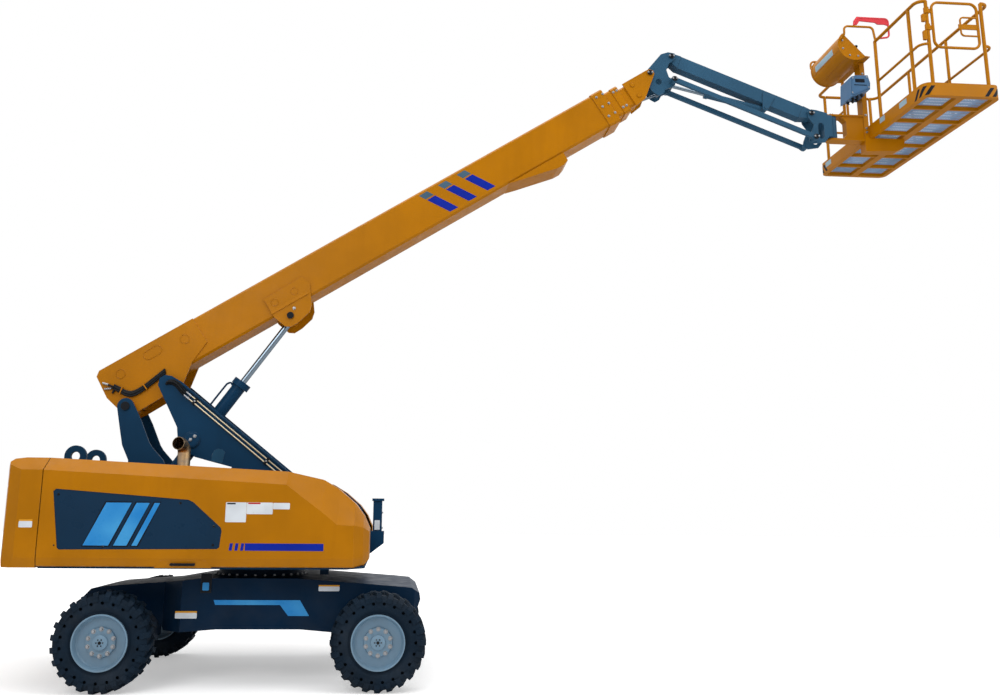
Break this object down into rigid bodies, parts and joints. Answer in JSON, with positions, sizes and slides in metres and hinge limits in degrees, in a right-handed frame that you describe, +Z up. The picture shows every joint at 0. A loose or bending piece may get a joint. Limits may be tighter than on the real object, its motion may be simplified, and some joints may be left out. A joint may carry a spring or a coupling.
{
  "type": "telescopic boom lift",
  "caption": "Wheeled telescopic boom lift: slewing turntable, extending boom, levelled jib and a rotating work platform with a gate",
  "frame": {"origin": "on the ground under the slewing axis", "axes": "+X the way the boom points at rest, +Y to the machine's left, +Z up"},
  "size_m": [10.1855, 2.49, 7.5338],
  "materials": {
    "body_orange": "satin painted steel, orange",
    "navy": "satin painted steel, dark navy",
    "grey_box": "painted steel, blue-grey",
    "ballast": "painted cast iron, orange",
    "tyre": "solid rubber tyre, dark grey",
    "rim": "silver-grey painted steel",
    "chrome": "polished cylinder rod",
    "steel": "bare or zinc-plated steel",
    "lever_red": "painted steel, red",
    "engine": null,
    "galvanised": "galvanised grating"
  },
  "bodies": {
    "chassis": {"chassis_frame": "navy", "front_axle": "navy", "rear_axle": "navy"},
    "steering_rod": {"steering_rod": "chrome"},
    "right_knuckle": {"rear_right_knuckle": "navy"},
    "left_knuckle": {"rear_left_knuckle": "navy"},
    "front_right_wheel": {"front_right_tyre": "tyre", "front_right_rim": "rim"},
    "front_left_wheel": {"front_left_tyre": "tyre", "front_left_rim": "rim"},
    "rear_right_wheel": {"rear_right_tyre": "tyre", "rear_right_rim": "rim"},
    "rear_left_wheel": {"rear_left_tyre": "tyre", "rear_left_rim": "rim"},
    "turntable": {"turntable_deck": "navy", "right_side_plate": "navy", "left_side_plate": "navy", "cross_tubes": "navy", "boom_pin": "steel", "counterweight": "ballast", "lifting_lugs": "navy", "well_walls": "navy", "engine": "engine", "exhaust": "steel", "front_post": "navy"},
    "right_hood": {"right_hood": "body_orange", "right_panel": "navy"},
    "left_hood": {"left_hood": "body_orange", "left_panel": "navy"},
    "boom": {"boom_base": "body_orange"},
    "boom_mid": {"boom_mid": "body_orange"},
    "boom_fly": {"boom_fly": "body_orange"},
    "lift_rod": {"lift_rod": "chrome"},
    "lift_barrel": {"lift_barrel": "navy"},
    "level_barrel": {"level_barrel": "navy"},
    "level_rod": {"level_rod": "chrome"},
    "jib_mount": {"jib_mount": "navy"},
    "jib_arm": {"jib_arm": "navy"},
    "jib_links": {"right_jib_link": "navy", "left_jib_link": "navy"},
    "jib_barrel": {"jib_barrel": "navy"},
    "jib_rod": {"jib_rod": "chrome"},
    "platform_bracket": {"platform_bracket": "navy"},
    "platform": {"platform_support": "body_orange", "basket_floor": "body_orange", "basket_grating": "galvanised", "rail_back_right": "body_orange", "rail_back_left": "body_orange", "rail_end_left": "body_orange", "rail_face": "body_orange", "control_console": "body_orange", "junction_box": "grey_box", "safety_lever": "lever_red"},
    "gate": {"basket_gate": "body_orange"}
  },
  "joints": [
    {"name": "front_right_roll", "type": "hinge", "parent": "chassis", "child": "front_right_wheel", "pos_m": [1.25, -1.065, 0.445], "axis": [0, 1, 0], "continuous": true},
    {"name": "front_left_roll", "type": "hinge", "parent": "chassis", "child": "front_left_wheel", "pos_m": [1.25, 1.065, 0.445], "axis": [0, 1, 0], "continuous": true},
    {"name": "rear_right_roll", "type": "hinge", "parent": "right_knuckle", "child": "rear_right_wheel", "pos_m": [-1.25, -1.065, 0.445], "axis": [0, 1, 0], "continuous": true},
    {"name": "rear_left_roll", "type": "hinge", "parent": "left_knuckle", "child": "rear_left_wheel", "pos_m": [-1.25, 1.065, 0.445], "axis": [0, 1, 0], "continuous": true},
    {"name": "right_steer", "type": "hinge", "parent": "chassis", "child": "right_knuckle", "pos_m": [-1.25, -0.79, 0.445], "axis": [0, 0, 1], "range_deg": [-35, 35]},
    {"name": "left_steer", "type": "hinge", "parent": "chassis", "child": "left_knuckle", "pos_m": [-1.25, 0.79, 0.445], "axis": [0, 0, 1], "range_deg": [-35, 35]},
    {"name": "steer_rod_slide", "type": "slide", "parent": "chassis", "child": "steering_rod", "axis": [0, -1, 0], "range_m": [-0.107, 0.107]},
    {"name": "slew", "type": "hinge", "parent": "chassis", "child": "turntable", "pos_m": [0, 0, 1.037], "axis": [0, 0, 1], "continuous": true},
    {"name": "right_hood_open", "type": "hinge", "parent": "turntable", "child": "right_hood", "pos_m": [-0.7, -0.565, 2.04928], "axis": [-0.9989, 0, 0.0469], "range_deg": [0, 60]},
    {"name": "left_hood_open", "type": "hinge", "parent": "turntable", "child": "left_hood", "pos_m": [-0.7, 0.565, 2.04928], "axis": [0.9989, 0, -0.0469], "range_deg": [0, 60]},
    {"name": "boom_lift", "type": "hinge", "parent": "turntable", "child": "boom", "pos_m": [-1.46, 0, 2.694], "axis": [0, -1, 0], "range_deg": [-32.2, 39.8]},
    {"name": "mid_extend", "type": "slide", "parent": "boom", "child": "boom_mid", "axis": [0.8462, 0, 0.5329], "range_m": [0, 4.9]},
    {"name": "fly_extend", "type": "slide", "parent": "boom_mid", "child": "boom_fly", "axis": [0.8462, 0, 0.5329], "range_m": [0, 4.9]},
    {"name": "lift_rod_swing", "type": "hinge", "parent": "boom", "child": "lift_rod", "pos_m": [0.20497, 0, 3.71885], "axis": [0, -1, 0], "range_deg": [-1.23, 1.52]},
    {"name": "lift_barrel_slide", "type": "slide", "parent": "lift_rod", "child": "lift_barrel", "axis": [-0.5742, 0, -0.8187], "range_m": [-0.4074, 0.5035]},
    {"name": "mount_level", "type": "hinge", "parent": "boom_fly", "child": "jib_mount", "pos_m": [4.30724, 0, 6.79026], "axis": [0, -1, 0], "range_deg": [-39.8, 32.2]},
    {"name": "level_barrel_swing", "type": "hinge", "parent": "boom_fly", "child": "level_barrel", "pos_m": [3.75679, 0, 6.28881], "axis": [0, -1, 0], "range_deg": [-0.62, 0.76]},
    {"name": "level_rod_slide", "type": "slide", "parent": "level_barrel", "child": "level_rod", "axis": [0.9181, 0, 0.3964], "range_m": [-0.161, 0.1303]},
    {"name": "jib_lift", "type": "hinge", "parent": "jib_mount", "child": "jib_arm", "pos_m": [4.58524, 0, 7.03026], "axis": [0, -1, 0], "range_deg": [-38.6, 91.4]},
    {"name": "jib_links_swing", "type": "hinge", "parent": "jib_mount", "child": "jib_links", "pos_m": [4.58524, 0, 6.69526], "axis": [0, -1, 0], "range_deg": [-38.6, 91.4]},
    {"name": "jib_barrel_swing", "type": "hinge", "parent": "jib_arm", "child": "jib_barrel", "pos_m": [5.72591, 0, 6.43287], "axis": [0, -1, 0], "range_deg": [-2.88, 1.22]},
    {"name": "jib_rod_slide", "type": "slide", "parent": "jib_barrel", "child": "jib_rod", "axis": [-0.9745, 0, 0.2242], "range_m": [-0.1797, 0.4254]},
    {"name": "platform_level", "type": "hinge", "parent": "jib_arm", "child": "platform_bracket", "pos_m": [6.27045, 0, 6.36983], "axis": [0, -1, 0], "range_deg": [-91.4, 38.6]},
    {"name": "platform_rotate", "type": "hinge", "parent": "platform_bracket", "child": "platform", "pos_m": [6.55045, 0, 6.21983], "axis": [0, 0, 1], "range_deg": [-85, 85]},
    {"name": "gate_swing", "type": "hinge", "parent": "platform", "child": "gate", "pos_m": [7.11445, -1.196, 6.9458], "axis": [0, 0, 1], "range_deg": [0, 90]}
  ],
  "couplings": [
    {"joint": "left_steer", "follows": "right_steer", "ratio": 1},
    {"joint": "steer_rod_slide", "follows": "right_steer", "m_per_rad": 0.17174},
    {"joint": "fly_extend", "follows": "mid_extend", "ratio": 1},
    {"joint": "lift_rod_swing", "follows": "boom_lift", "ratio": 0.0375},
    {"joint": "lift_barrel_slide", "follows": "boom_lift", "m_per_rad": 0.72342},
    {"joint": "mount_level", "follows": "boom_lift", "ratio": -1},
    {"joint": "level_barrel_swing", "follows": "boom_lift", "ratio": 0.018271},
    {"joint": "level_rod_slide", "follows": "boom_lift", "m_per_rad": -0.23137},
    {"joint": "jib_links_swing", "follows": "jib_lift", "ratio": 1},
    {"joint": "jib_barrel_swing", "follows": "jib_lift", "ratio": -0.03},
    {"joint": "jib_rod_slide", "follows": "jib_lift", "m_per_rad": 0.26613},
    {"joint": "platform_level", "follows": "jib_lift", "ratio": -1}
  ]
}
